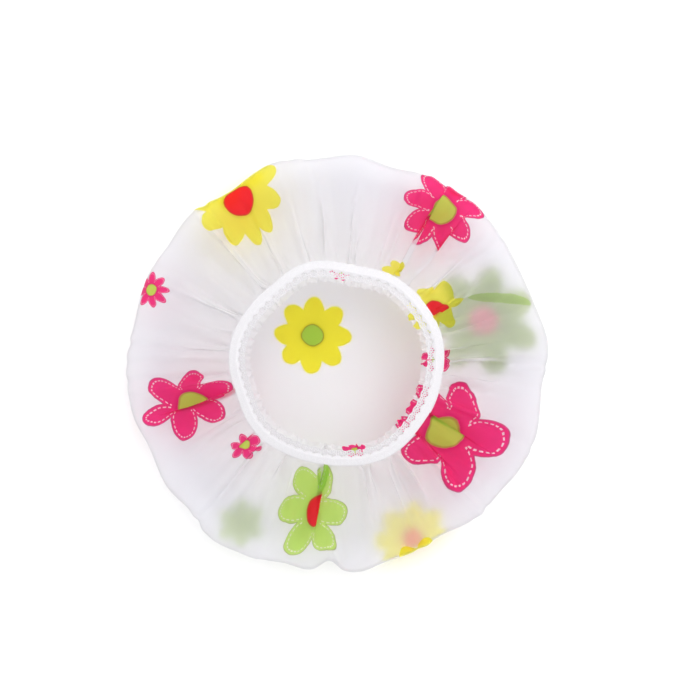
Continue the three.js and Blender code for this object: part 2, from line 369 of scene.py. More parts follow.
@dataclass
class FilmSurface:
    """Gathered film as a grid of points, rings from the pole to the cut edge."""

    form: CapForm
    warp: RimWarp
    columns: int = 560
    wall: float = 0.00015
    floor_gap: float = 0.0003
    print_ease: float = 1.12
    crown_rings: tuple[float, ...] = (0.004, 0.03, 0.06, 0.085, 0.103)
    fine: FineFolds = FineFolds()
    broad: FoldWave = FoldWave(
        14,
        uneven=((0.35, 3.0, 0.5), (0.25, 5.0, 2.1)),
        drift=((0.9, 2.0, 1.0), (0.7, 5.0, 4.0)),
    )
    bulge_fold: float = 0.0012
    skirt_fold: float = 0.0024
    close: FoldWave = FoldWave(
        31,
        uneven=((0.4, 7.0, 1.3), (0.3, 11.0, 0.4)),
        drift=((1.1, 3.0, 2.0), (0.8, 7.0, 5.0)),
    )
    close_fold: float = 0.0022
    close_swell: float = 2.6
    close_lean: float = 0.6
    tucks: tuple[Tuck, ...] = (
        Tuck(-97.0, width=0.006, fold=2.3, length=62.0, height=0.0011),
        Tuck(-164.0, width=0.006, fold=2.3, length=80.0, lean=-1.0),
        Tuck(58.0, width=0.005, fold=2.0, length=95.0),
        Tuck(49.0, width=0.0045, fold=1.9, length=90.0, lean=-1.0),
        Tuck(-30.0, width=0.005, fold=2.1, length=70.0),
        Tuck(-42.0, width=0.0045, fold=2.0, length=55.0, lean=-1.0),
        Tuck(-139.0, width=0.004, length=25.0),
        Tuck(27.0, width=0.0045, length=40.0),
        Tuck(8.0, width=0.004, length=60.0, lean=-1.0),
        Tuck(-6.0, width=0.004, length=50.0),
        Tuck(80.0, fold=0.9, length=30.0),
        Tuck(104.0, width=0.006, fold=0.7, length=25.0, lean=-1.0),
        Tuck(128.0, width=0.007, fold=0.6, length=36.0),
        Tuck(152.0, width=0.007, fold=0.6, length=28.0),
        Tuck(172.0, width=0.006, fold=0.7, length=32.0, lean=-1.0),
        Tuck(-118.0, fold=1.0, length=25.0),
        Tuck(-72.0, fold=1.2, length=40.0, lean=-1.0),
    )
    lobe_place: float = 0.033
    lobe_spread: float = 0.028
    lobes: tuple[Lobe, ...] = (
        Lobe(-127.0, 0.005, 7.0),
        Lobe(-113.0, 0.003, 6.0),
        Lobe(-92.4, -0.0085, 3.5),
        Lobe(-83.0, 0.0018, 5.0),
        Lobe(-71.0, -0.0036, 8.0),
        Lobe(-57.0, -0.004, 8.0),
        Lobe(-32.0, 0.002, 7.0),
        Lobe(4.0, 0.001, 9.0),
        Lobe(28.4, -0.003, 9.0),
        Lobe(49.3, 0.003, 7.0),
        Lobe(72.5, -0.002, 8.0),
        Lobe(125.0, -0.0015, 9.0),
        Lobe(180.0, 0.001, 8.0),
        Lobe(-165.0, 0.002, 7.0),
    )
    length: np.ndarray = field(init=False)
    line: np.ndarray = field(init=False)
    flat: np.ndarray = field(init=False)
    points: np.ndarray = field(init=False)
    normals: np.ndarray = field(init=False)

    def __post_init__(self) -> None:
        """Work out the rings and the folded points."""
        self.length, self.line = self.form.section()
        self.flat = self.ring_places()
        self.points = self.fold()
        self.normals = self.normals_of(self.points)

    @property
    def flat_radius(self) -> float:
        """Radius of the round that the film is cut from."""
        return float(self.length[-1])

    @property
    def rim_start(self) -> float:
        """Flat distance from the pole to the lace's outer edge."""
        return self.flat_radius - self.form.lace_width - self.form.frill_width

    def flat_spot(self, x: float, y: float, under: bool) -> tuple[float, float]:
        """Find a place of the lying cap on the flat film.

        Args:
            x: Place across the lying cap.
            y: Place along it.
            under: True for the crown below, False for the skirt above it.

        Returns:
            Flat distance from the pole, and how much the film is drawn together there.
        """
        radius = math.hypot(x, y)
        if under and radius < self.form.crown_radius:
            return radius, 1.0
        top = int(np.argmax(self.line[:, 0]))
        if under:
            return float(np.interp(radius, self.line[:top, 0], self.length[:top])), 1.0
        flat = float(np.interp(-radius, -self.line[top:, 0], self.length[top:]))
        return flat, flat / (radius * self.print_ease)

    def ring_places(self) -> np.ndarray:
        """Choose the rings: wide apart on the crown, close at the gathers.

        Returns:
            Flat distance of each ring from the pole.
        """
        lace_end = self.rim_start + self.form.lace_width
        bands = (
            (self.form.crown_radius, 0.134, 9),
            (0.1355, 0.1600, 23),
            (0.1618, self.rim_start, 38),
            (self.rim_start + 0.0019, lace_end, 7),
            (lace_end + 0.0008, self.flat_radius, 4),
        )
        return np.concatenate([self.crown_rings, *(np.linspace(*band) for band in bands)])

    def fold(self) -> np.ndarray:
        """Lay the film in folds and tucks that run out from the rim.

        Returns:
            Points, as (rings, columns, 3).
        """
        angle = np.arange(self.columns) * TURN / self.columns
        out = (self.rim_start - self.flat)[:, None] * MILLIMETRES
        radius = np.interp(self.flat, self.length, self.line[:, 0])[:, None]
        height = np.interp(self.flat, self.length, self.line[:, 1])[:, None]
        rise, shift = self.fine_folds(angle, out, radius)
        broad, close, aside = self.large_folds(angle)
        rise = rise + broad + close
        shift = shift + self.close_lean * aside / radius
        for tuck in self.tucks:
            wide = tuck.width / radius
            place = angle_from(angle, tuck.angle)[None, :] / wide
            odd = place * np.exp(-place * place) * tuck.held(out)
            shift = shift - tuck.fold * wide * odd
            rise = rise - tuck.lean * tuck.height * tuck.steepness * odd
        turned = angle[None, :] + shift
        slope = np.gradient(np.concatenate([radius, height], axis=1), self.flat, axis=0)
        slope /= np.linalg.norm(slope, axis=1)[:, None]
        reach = radius + slope[:, 1:] * rise
        top = height - slope[:, :1] * rise
        bulge = self.flat - self.form.crown_radius - self.lobe_place
        middle = np.exp(-((bulge / self.lobe_spread) ** 2))[:, None]
        for lobe in self.lobes:
            apart = angle_from(turned, lobe.angle) / math.radians(lobe.width)
            reach = reach + middle * lobe.reach * np.exp(-(apart**2))
        return self.warp.move(polar_points(reach, turned, np.maximum(top, self.floor_gap)))

    def fine_folds(
        self, angle: np.ndarray, out: np.ndarray, radius: np.ndarray
    ) -> tuple[np.ndarray, np.ndarray]:
        """Lay the fine gathers, whose slope follows from how far the film is drawn together.

        Args:
            angle: Angle of each column.
            out: Distance of each ring out from the lace, in millimetres.
            radius: Radius of each ring.

        Returns:
            Height over the section and turn from the column, as (rings, columns).
        """
        rng = np.random.default_rng(SEED)
        fine = self.fine
        uneven = 1.0 + fine.reach_uneven * wander(angle, rng, *fine.reach_waves)
        far = np.where(out > 0.0, out * np.clip(uneven, *fine.reach_range)[None, :], out)
        fullness = smooth_steps(far, fine.places, fine.fullness)
        steep = 1.0 + fine.uneven * wander(angle, rng, *fine.uneven_waves)
        lean = fine.lean(fullness) * np.clip(steep, 0.0, fine.steepest)
        phase = fine.count * angle + fine.sway * wander(angle, rng, *fine.sway_waves)
        wave = np.sin(phase) + fine.overtone * np.sin(2.0 * phase + fine.overtone_start)
        tilt = lean * wave[None, :]
        run = np.cumsum(np.cos(tilt), axis=1)
        shift = self.without_slow(TURN * run / run[:, -1:] - angle[None, :], fine.slow_turns)
        step = fullness * TURN * radius / self.columns
        climb = np.sin(tilt) - np.sin(tilt).mean(axis=1, keepdims=True)
        return self.without_slow(np.cumsum(climb * step, axis=1), fine.slow_heights), shift

    def large_folds(self, angle: np.ndarray) -> tuple[np.ndarray, np.ndarray, np.ndarray]:
        """Lay the broad folds, which the solid film has too, and the close ones between them.

        Args:
            angle: Angle of each column.

        Returns:
            Heights of the broad and the close folds, and how far the close ones lean, as (rings, columns).
        """
        start = self.form.crown_radius
        middle = float(self.length[np.argmax(self.line[:, 0])])
        end = self.rim_start - self.form.rim_lead
        bulge = np.clip((self.flat - start) / (middle - start), 0.0, 1.0)
        skirt = np.clip((self.flat - middle) / (end - middle), 0.0, 1.0)
        swell = np.sin(math.pi * skirt)
        broad = self.bulge_fold * bulge * (1.0 - skirt)
        broad = broad + (self.skirt_fold - self.bulge_fold / 2.0) * swell
        close = self.close_swell * self.close_fold * skirt**2 * swell
        wide, _ = self.broad.read(angle)
        tight, lean = self.close.read(angle)
        return broad[:, None] * wide, close[:, None] * tight, close[:, None] * lean

    @staticmethod
    def without_slow(wave: np.ndarray, lowest: int) -> np.ndarray:
        """Take the slow waves out of rows of values round a circle.

        Args:
            wave: Values, as (rings, columns).
            lowest: Fewest waves in a turn that stay.

        Returns:
            The rows without the slower waves.
        """
        parts = np.fft.rfft(wave, axis=1)
        parts[:, :lowest] = 0.0
        return np.fft.irfft(parts, n=wave.shape[1], axis=1)

    @staticmethod
    def normals_of(points: np.ndarray) -> np.ndarray:
        """Unit normals on the film's outer side.

        Args:
            points: Grid of points.

        Returns:
            Normals, in the same shape.
        """
        around = np.roll(points, -1, axis=1) - np.roll(points, 1, axis=1)
        outwards = np.gradient(points, axis=0)
        normal = np.cross(outwards, around)
        normal = -normal if normal[0, 0, 2] > 0.0 else normal
        return normal / np.maximum(np.linalg.norm(normal, axis=2, keepdims=True), 1e-12)


@dataclass
class FilmCap:
    """The film as a thin closed wall."""

    surface: FilmSurface
    sharp: float = math.radians(32.0)

    def build(self) -> bpy.types.Object:
        """Make both faces of the film and join them along the cut edge.

        Returns:
            The film's object.
        """
        grid, normals, half = self.surface.points, self.surface.normals, self.surface.wall / 2.0
        rings, columns = grid.shape[:2]
        outer = (grid + normals * half).reshape(-1, 3)
        inner = (grid - normals * half).reshape(-1, 3)
        lift = grid[0, :, 2].mean()
        poles = np.array([[0.0, 0.0, lift - half], [0.0, 0.0, lift + half]])
        here, beside, quads = sleeve(rings, columns)
        cells = np.roll(quads[:, ::-1], 1, axis=1)
        offset = rings * columns
        edge = np.stack([here[-1], beside[-1], beside[-1] + offset, here[-1] + offset], axis=1)
        pole = np.full(columns, 2 * offset)
        caps = np.concatenate(
            [
                np.stack([pole, beside[0], here[0]], axis=1),
                np.stack([pole + 1, here[0] + offset, beside[0] + offset], axis=1),
            ]
        )
        walls = np.concatenate([cells, cells[:, ::-1] + offset, edge])
        film = mesh_object("film", np.concatenate([outer, inner, poles]), walls, caps)
        film.data.set_sharp_from_angle(angle=self.sharp)
        self.lay_flat(film)
        return film

    def lay_flat(self, film: bpy.types.Object) -> None:
        """Give the film the map of the flat round that it is cut from.

        Args:
            film: The film's object.
        """
        angle = np.arange(self.surface.columns) * TURN / self.surface.columns
        ring = np.stack([np.cos(angle), np.sin(angle)], axis=1)
        flat = self.surface.flat[:, None, None] * ring[None]
        flat = flat.reshape(-1, 2) / (2.0 * self.surface.flat_radius) + 0.5
        flat = np.concatenate([flat, flat, [[0.5, 0.5], [0.5, 0.5]]])
        corners = np.empty(len(film.data.loops), np.int32)
        film.data.loops.foreach_get("vertex_index", corners)
        layer = film.data.uv_layers.new(name="flat")
        layer.data.foreach_set("uv", flat[corners].astype(np.float32).ravel())


# Finishes


class NodeWriter:
    """Adds nodes to a node tree and links them."""

    def __init__(self, tree: bpy.types.NodeTree) -> None:
        """Keep the tree that is written to."""
        self.tree = tree

    def fill(self, sockets: bpy.types.NodeInputs, values: dict[str | int, object]) -> None:
        """Fill some of a node's inputs.

        Args:
            sockets: The inputs.
            values: By name or number, a plain value or an output to link to.
        """
        for name, value in values.items():
            if isinstance(value, bpy.types.NodeSocket):
                self.tree.links.new(value, sockets[name])
            else:
                sockets[name].default_value = value

    def add(
        self, kind: str, values: dict[str | int, object] | None = None, **settings: object
    ) -> bpy.types.NodeOutputs:
        """Add one node.

        Args:
            kind: Blender's name for the kind of node.
            values: What goes into its inputs, by name or number.
            settings: Properties of the node by name.

        Returns:
            The node's outputs.
        """
        node = self.tree.nodes.new(kind)
        for name, value in settings.items():
            setattr(node, name, value)
        self.fill(node.inputs, values or {})
        return node.outputs

    def math(self, operation: str, *values: object) -> bpy.types.NodeSocket:
        """Add a math node and give back its result."""
        return self.add("ShaderNodeMath", dict(enumerate(values)), operation=operation)[0]

    def hypot(self, first: object, second: object) -> bpy.types.NodeSocket:
        """Add the nodes for the length of two legs and give back the result."""
        squares = [self.math("POWER", leg, 2.0) for leg in (first, second)]
        return self.math("SQRT", self.math("ADD", *squares))

    def vector(self, operation: str, *values: object) -> bpy.types.NodeSocket:
        """Add a vector math node and give back its vector."""
        return self.add("ShaderNodeVectorMath", dict(enumerate(values)), operation=operation)[0]

    def length(self, value: object) -> bpy.types.NodeSocket:
        """Add a node for the length of a vector and give back the length."""
        return self.add("ShaderNodeVectorMath", {0: value}, operation="LENGTH")["Value"]

    def ramp(self, value: object, *ends: object) -> bpy.types.NodeSocket:
        """Add a smooth map from one range, low and high, to another and give back its result."""
        values = dict(enumerate((value, *ends)))
        return self.add("ShaderNodeMapRange", values, interpolation_type="SMOOTHSTEP")[0]

    def mix(self, share: object, first: object, second: object) -> bpy.types.NodeSocket:
        """Mix two colours, by the share of the second, and give back the result."""
        return self.add("ShaderNodeMix", {"Factor": share, 6: first, 7: second}, data_type="RGBA")[2]

    def noise(self, place: object, scale: object, detail: float) -> bpy.types.NodeOutputs:
        """Add a noise texture and give back its outputs."""
        return self.add("ShaderNodeTexNoise", {"Vector": place, "Scale": scale, "Detail": detail})

    def shade(self, colour: object, value: float, saturation: float = 1.0) -> bpy.types.NodeSocket:
        """Add a node that changes a colour's value and saturation and give back the result."""
        values = {"Color": colour, "Value": value, "Saturation": saturation}
        return self.add("ShaderNodeHueSaturation", values)[0]

    def bump(self, strength: float, distance: float, height: object) -> bpy.types.NodeSocket:
        """Add a bump node and give back its normal."""
        values = {"Strength": strength, "Distance": distance, "Height": height}
        return self.add("ShaderNodeBump", values)[0]


def new_group(
    name: str, inputs: dict[str, str], outputs: dict[str, str], kind: str = "ShaderNodeTree"
) -> tuple[NodeWriter, bpy.types.NodeOutputs, bpy.types.NodeInputs]:
    """Start a node group.

    Args:
        name: Name of the group.
        inputs: Kind of each input by name.
        outputs: Kind of each output by name.
        kind: Blender's name for the kind of group.

    Returns:
        Writer for the group, its inputs to read from and its outputs to fill.
    """
    tree = bpy.data.node_groups.new(name, kind)
    for side, sockets in (("INPUT", inputs), ("OUTPUT", outputs)):
        for title, value in sockets.items():
            tree.interface.new_socket(title, in_out=side, socket_type=f"NodeSocket{value}")
    writer = NodeWriter(tree)
    return writer, writer.add("NodeGroupInput"), tree.nodes.new("NodeGroupOutput").inputs


def new_material(name: str) -> tuple[bpy.types.Material, NodeWriter, bpy.types.Node]:
    """Start a material.

    Args:
        name: Name of the material.

    Returns:
        The material, a writer for its nodes, and its shader.
    """
    material = bpy.data.materials.new(name)
    material.use_nodes = True
    return material, NodeWriter(material.node_tree), material.node_tree.nodes["Principled BSDF"]


@dataclass(frozen=True)
class FlowerStyle:
    """How a flower is drawn, in shares of its radius; triples are a start, an end and a strength."""

    petal_middle: float = 0.57
    petal_half: float = 0.43
    petal_rim: float = 1.01
    grain_scale: float = 140.0
    grain_detail: float = 3.0
    grain_share: float = 0.08
    deep: tuple[float, float, float] = (0.25, 0.7, 0.10)
    dark_value: float = 0.72
    dark_saturation: float = 1.1
    dash_beat: float = 3.5
    dash_share: float = 0.6
    dash_inset: float = 0.78
    dash_half: float = 0.036
    dash_start: float = 0.4
    dash_cover: float = 0.85
    dash_colour: Colour = (1.0, 0.96, 0.97, 1.0)
    line: tuple[float, float, float] = (0.93, 0.97, 0.5)
    line_colour: Colour = (0.30, 0.16, 0.24, 1.0)
    core_edge: tuple[float, float] = (0.97, 1.03)
    core_line: tuple[float, float, float] = (0.88, 0.95, 0.45)
    core_line_colour: Colour = (0.42, 0.12, 0.06, 1.0)
    halo: tuple[float, float, float] = (1.0, 1.3, 0.4)

    def group(self) -> bpy.types.NodeTree:
        """Make the group that prints one flower over a colour.

        Returns:
            Group with the petals, their stitch marks and the centre.
        """
        numbers = "Bearing Stretch Turn Radius Petals Slimness Hub Edge Core Marks"
        inputs = {"Place": "Vector", "Centre": "Vector"}
        inputs |= dict.fromkeys(("Under", "Petal Colour", "Core Colour"), "Color")
        inputs |= dict.fromkeys(numbers.split(), "Float")
        w, source, result = new_group("printed_flower", inputs, {"Over": "Color"})
        apart = w.vector("SUBTRACT", source["Place"], source["Centre"])
        back = w.math("MULTIPLY", source["Bearing"], -1.0)
        level = w.add("ShaderNodeVectorRotate", {"Vector": apart, "Angle": back}, rotation_type="Z_AXIS")
        legs = w.add("ShaderNodeSeparateXYZ", {0: level[0]})
        across = w.math("DIVIDE", legs[0], source["Radius"])
        aside = w.math("DIVIDE", w.math("DIVIDE", legs[1], source["Stretch"]), source["Radius"])
        distance = w.hypot(across, aside)
        # One sector stands for all petals: place along it and across it, as an oval
        angle = w.math("ADD", w.math("ARCTAN2", aside, across), source["Turn"])
        sector = w.math("DIVIDE", TURN, source["Petals"])
        half = w.math("MULTIPLY", sector, 0.5)
        folded = w.math("SUBTRACT", w.math("FLOORED_MODULO", angle, sector), half)
        along = w.math("MULTIPLY", distance, w.math("COSINE", folded))
        long = w.math("DIVIDE", w.math("SUBTRACT", along, self.petal_middle), self.petal_half)
        beside = w.math("MULTIPLY", distance, w.math("SINE", folded))
        wide = w.math("DIVIDE", beside, source["Slimness"])
        oval = w.hypot(wide, long)
        nearest = w.math("MINIMUM", oval, w.math("DIVIDE", distance, source["Hub"]))
        inside = w.math("SUBTRACT", self.petal_rim, source["Edge"])
        petal = w.ramp(nearest, inside, self.petal_rim, 1.0, 0.0)
        # Petals, darker towards the centre, with a fine grain
        spread = (self.grain_scale, self.grain_scale, 0.0)
        grain = w.noise(w.vector("MULTIPLY", source["Place"], spread), 1.0, self.grain_detail)["Fac"]
        dark = w.shade(source["Petal Colour"], self.dark_value, self.dark_saturation)
        start, end, strength = self.deep
        deep = w.ramp(distance, start, end, strength, 0.0)
        share = w.math("ADD", deep, w.math("MULTIPLY", grain, self.grain_share))
        body = w.mix(share, source["Petal Colour"], dark)
        # Stitch marks and outline
        beat = w.math("FRACT", w.math("MULTIPLY", w.math("ARCTAN2", wide, long), self.dash_beat))
        inset = w.math("ABSOLUTE", w.math("SUBTRACT", oval, self.dash_inset))
        on_line = w.math("LESS_THAN", inset, self.dash_half)
        dash = w.math("MULTIPLY", w.math("LESS_THAN", beat, self.dash_share), on_line)
        outside = w.math("GREATER_THAN", distance, self.dash_start)
        dash = w.math("MULTIPLY", dash, w.math("MULTIPLY", source["Marks"], outside))
        body = w.mix(w.math("MULTIPLY", dash, self.dash_cover), body, self.dash_colour)
        start, end, strength = self.line
        line = w.math("MULTIPLY", w.ramp(nearest, start, end, 0.0, strength), source["Marks"])
        body = w.mix(line, body, self.line_colour)
        # Centre
        heart = w.math("DIVIDE", distance, source["Core"])
        start, end, strength = self.halo
        body = w.mix(w.ramp(heart, start, end, strength, 0.0), body, dark)
        start, end, strength = self.core_line
        ring = w.ramp(heart, start, end, 0.0, strength)
        middle = w.mix(ring, source["Core Colour"], self.core_line_colour)
        body = w.mix(w.ramp(heart, *self.core_edge, 1.0, 0.0), body, middle)
        w.fill(result, {"Over": w.mix(petal, source["Under"], body)})
        return w.tree


@dataclass(frozen=True)
class Crumple:
    """Fine creases of the film, which run out from the mouth."""

    streaks_round: float = 16.0
    streaks_along: float = 45.0
    streak_detail: float = 4.0
    crown_share: float = 0.15
    gather_start: float = 0.12
    gather_end: float = 0.2
    soft_scale: float = 55.0
    soft_detail: float = 3.0
    soft_share: float = 0.3

    def group(self) -> bpy.types.NodeTree:
        """Make the group that gives their height.

        Returns:
            The group.
        """
        w, source, result = new_group("film_crumple", {"Place": "Vector"}, {"Height": "Float"})
        length = w.length(source["Place"])
        ahead = w.add("ShaderNodeSeparateXYZ", {0: w.vector("NORMALIZE", source["Place"])})
        values = {side: w.math("MULTIPLY", ahead[side], self.streaks_round) for side in (0, 1)}
        values[2] = w.math("MULTIPLY", length, self.streaks_along)
        place = w.add("ShaderNodeCombineXYZ", values)[0]
        streaks = w.noise(place, 1.0, self.streak_detail)["Fac"]
        gathered = w.ramp(length, self.gather_start, self.gather_end, self.crown_share, 1.0)
        soft = w.noise(source["Place"], self.soft_scale, self.soft_detail)["Fac"]
        soft = w.math("MULTIPLY", soft, self.soft_share)
        w.fill(result, {"Height": w.math("ADD", w.math("MULTIPLY", streaks, gathered), soft)})
        return w.tree


class Ink(Enum):
    """Colours of the print."""

    YELLOW = (1.0, 0.955, 0.17, 1.0)
    PINK = (1.0, 0.06, 0.30, 1.0)
    RED = (1.0, 0.035, 0.06, 1.0)
    GREEN = (0.70, 0.91, 0.26, 1.0)
    LIME = (0.66, 0.80, 0.15, 1.0)
    LEAF = (0.655, 0.82, 0.22, 1.0)
    SAGE = (0.70, 0.80, 0.48, 1.0)
    MOSS = (0.57, 0.67, 0.30, 1.0)
    FERN = (0.80, 0.90, 0.62, 1.0)
    ROSE = (0.86, 0.34, 0.42, 1.0)
    AMBER = (0.97, 0.36, 0.12, 1.0)


@dataclass(frozen=True)
class Flower:
    """One printed flower: where it shows on the lying cap, in metres and degrees, and how it is drawn."""

    x: float
    y: float
    radius: float
    petal: Ink
    core: Ink
    petals: int = 8
    slim: float = 0.24
    hub: float = 0.36
    edge: float = 0.04
    heart: float = 0.30
    turn: float = 0.0
    squeeze: float = 1.0
    marks: bool = False
    under: bool = False


pink = partial(Flower, petal=Ink.PINK, core=Ink.LIME)
yellow = partial(Flower, petal=Ink.YELLOW, core=Ink.RED)
PRINT = (
    yellow(-0.0655, 0.1085, 0.034, petals=9, slim=0.25, turn=10.0, heart=0.34),
    pink(-0.1220, 0.0482, 0.0135, slim=0.22, marks=True),
    yellow(-0.0170, 0.0190, 0.0268, core=Ink.LEAF, slim=0.285, heart=0.28, turn=22.0, edge=0.12, under=True),
    pink(0.0680, 0.1002, 0.030, slim=0.235, turn=20.0, heart=0.32, marks=True),
    yellow(0.0352, 0.0612, 0.0085, core=Ink.YELLOW, petals=6, slim=0.3),
    yellow(0.0608, 0.0362, 0.0225, slim=0.26, turn=5.0, heart=0.36, squeeze=0.8),
    Flower(0.0990, 0.0290, 0.038, Ink.MOSS, Ink.ROSE, petals=7, slim=0.26, heart=0.26, turn=15.0, under=True),
    Flower(0.0765, 0.0395, 0.055, Ink.FERN, Ink.FERN, petals=1, slim=0.042, hub=0.01, heart=0.01, turn=-13.5),
    pink(0.0690, -0.0440, 0.046, petals=7, slim=0.26, turn=-32.0, squeeze=0.82, marks=True),
    pink(0.0620, 0.0030, 0.013, petals=6, slim=0.30, squeeze=0.8, marks=True),
    pink(0.0108, -0.0555, 0.0085, petals=6, slim=0.30),
    pink(0.0017, 0.0615, 0.0075, petals=6, slim=0.30),
    Flower(
        -0.0152, -0.0948, 0.038, Ink.GREEN, Ink.RED, petals=7, slim=0.235, turn=30.0, squeeze=0.66, marks=True
    ),
    Flower(-0.0640, -0.1065, 0.0155, Ink.SAGE, Ink.SAGE, petals=6, slim=0.30, under=True),
    yellow(0.0515, -0.1205, 0.027, core=Ink.AMBER, slim=0.27, heart=0.27, under=True),
    pink(-0.0944, -0.0249, 0.036, petals=7, slim=0.25, turn=8.0, squeeze=0.68, marks=True),
    pink(-0.0570, -0.0535, 0.0125, petals=7, slim=0.25, squeeze=0.85, marks=True),
)


@dataclass(frozen=True)
class FilmFinish:
    """Frosted film with the print in it, greyed by painted shade in a ring over the bulge, and milky where it
    is seen aslant.
    """

    clear: Colour = (0.994, 0.988, 1.0, 1.0)
    # Painted shade: the film's colour turns greyer in a ring over the bulge, darkening the part that would
    # otherwise render brighter than the rest
    painted_shade: Colour = (0.970, 0.967, 0.989, 1.0)
    painted_shade_in: tuple[float, float] = (0.100, 0.135)
    painted_shade_out: tuple[float, float] = (0.170, 0.215)
    roughness: float = 0.86
    transmission: float = 0.92
    index: float = 1.10
    gloss: float = 0.12
    gloss_roughness: float = 0.3
    gloss_index: float = 1.45
    crumple: float = 0.3
    crease: float = 0.0004
    milk_dark: float = 0.18
    milk_roughness: float = 0.5
    milk_facing: tuple[float, float] = (0.35, 0.95)
    milk_share: tuple[float, float] = (0.08, 0.9)
    wobble: float = 0.0025
    wobble_scale: float = 95.0
    wobble_detail: float = 2.0

    def dress(self, piece: bpy.types.Object, surface: FilmSurface) -> None:
        """Give the film its material.

        Args:
            piece: The film.
            surface: Its folded surface, on which the flowers are placed.
        """
        material, w, shader = new_material("printed_film")
        uv = w.add("ShaderNodeUVMap", uv_map="flat")[0]
        span = 2.0 * surface.flat_radius
        place = w.vector("MULTIPLY", w.vector("SUBTRACT", uv, (0.5, 0.5, 0.0)), (span, span, 0.0))
        colour = self.printed(w, place, surface)
        crumple = w.add("ShaderNodeGroup", {"Place": place}, node_tree=Crumple().group())
        inputs = {
            "Base Color": colour,
            "Roughness": self.roughness,
            "Transmission Weight": self.transmission,
            "IOR": self.index,
            "Coat Weight": self.gloss,
            "Coat Roughness": self.gloss_roughness,
            "Coat IOR": self.gloss_index,
            "Normal": w.bump(self.crumple, self.crease, crumple["Height"]),
        }
        w.fill(shader.inputs, inputs)
        dim = w.mix(self.milk_dark, colour, BLACK)
        milk = w.add("ShaderNodeBsdfPrincipled", {"Base Color": dim, "Roughness": self.milk_roughness})
        facing = w.add("ShaderNodeLayerWeight", {"Blend": 0.5})["Facing"]
        share = w.ramp(facing, *self.milk_facing, *self.milk_share)
        blend = w.add("ShaderNodeMixShader", {0: share, 1: shader.outputs[0], 2: milk[0]})
        w.fill(material.node_tree.nodes["Material Output"].inputs, {"Surface": blend[0]})
        piece.data.materials.append(material)

    def printed(self, w: NodeWriter, place: object, surface: FilmSurface) -> bpy.types.NodeSocket:
        """Lay the flowers over the film's colour, which carries painted shade in a ring over the bulge.

        Args:
            w: Writer for the material.
            place: Place on the flat film.
            surface: The folded film.

        Returns:
            Colour of the printed film.
        """
        # Painted shade: grey the film's colour in a ring over the bulge
        flat = w.length(place)
        inner, outer = w.ramp(flat, *self.painted_shade_in, 0.0, 1.0), w.ramp(flat, *self.painted_shade_out, 1.0, 0.0)
        colour = w.mix(w.math("MULTIPLY", inner, outer), self.clear, self.painted_shade)
        stir = w.noise(place, self.wobble_scale, self.wobble_detail)["Color"]
        shake = w.vector("SUBTRACT", stir, (0.5, 0.5, 0.5))
        drawn = w.vector("ADD", place, w.vector("MULTIPLY", shake, (self.wobble, self.wobble, 0.0)))
        group = FlowerStyle().group()
        for flower in PRINT:
            bearing = math.atan2(flower.y, flower.x)
            centre, stretch = surface.flat_spot(flower.x, flower.y, flower.under)
            values = {
                "Under": colour,
                "Place": drawn,
                "Centre": (centre * math.cos(bearing), centre * math.sin(bearing), 0.0),
                "Bearing": bearing,
                "Stretch": stretch * flower.squeeze,
                "Turn": math.radians(flower.turn),
                "Radius": flower.radius,
                "Petals": float(flower.petals),
                "Slimness": flower.slim,
                "Hub": flower.hub,
                "Edge": flower.edge,
                "Core": flower.heart,
                "Marks": float(flower.marks),
                "Petal Colour": flower.petal.value,
                "Core Colour": flower.core.value,
            }
            colour = w.add("ShaderNodeGroup", values, node_tree=group)["Over"]
        return colour


# Rim


@dataclass(frozen=True)
class Thread:
    """Two-ply sewing thread."""

    radius: float = 0.00017
    sides: int = 8
    twist: float = 0.9
    ply: float = 0.16

    def sweep(self, path: np.ndarray) -> MeshParts:
        """Sweep the thread along a path.

        Args:
            path: Points of its middle.

        Returns:
            Points, quads of the side and triangles of the ends.
        """
        ahead = np.gradient(path, axis=0)
        ahead /= np.linalg.norm(ahead, axis=1, keepdims=True)
        side = np.cross(ahead, np.array([0.0, 0.0, 1.0]))
        side /= np.linalg.norm(side, axis=1, keepdims=True)
        over = np.cross(side, ahead)
        turn = np.arange(self.sides) * TURN / self.sides
        twisted = turn[None, :] - self.twist * np.arange(len(path))[:, None]
        plies = 1.0 + self.ply * np.cos(2.0 * twisted)
        across = side[:, None, :] * np.cos(turn)[None, :, None]
        across = across + over[:, None, :] * np.sin(turn)[None, :, None]
        rings = path[:, None, :] + self.radius * plies[:, :, None] * across
        points = np.concatenate([rings.reshape(-1, 3), path[:1], path[-1:]])
        here, beside, quads = sleeve(len(path), self.sides)
        first = np.full(self.sides, len(path) * self.sides)
        ends = np.concatenate(
            [
                np.stack([first, here[0], beside[0]], axis=1),
                np.stack([first + 1, beside[-1], here[-1]], axis=1),
            ]
        )
        return points, quads, ends


def join_parts(parts: list[MeshParts]) -> MeshParts:
    """Join swept threads.

    Args:
        parts: Points, quads and triangles of each.

    Returns:
        Points, quads and triangles of all.
    """
    start, points, quads, ends = 0, [], [], []
    for part in parts:
        points.append(part[0])
        quads.append(part[1] + start)
        ends.append(part[2] + start)
        start += len(part[0])
    return np.concatenate(points), np.concatenate(quads), np.concatenate(ends)


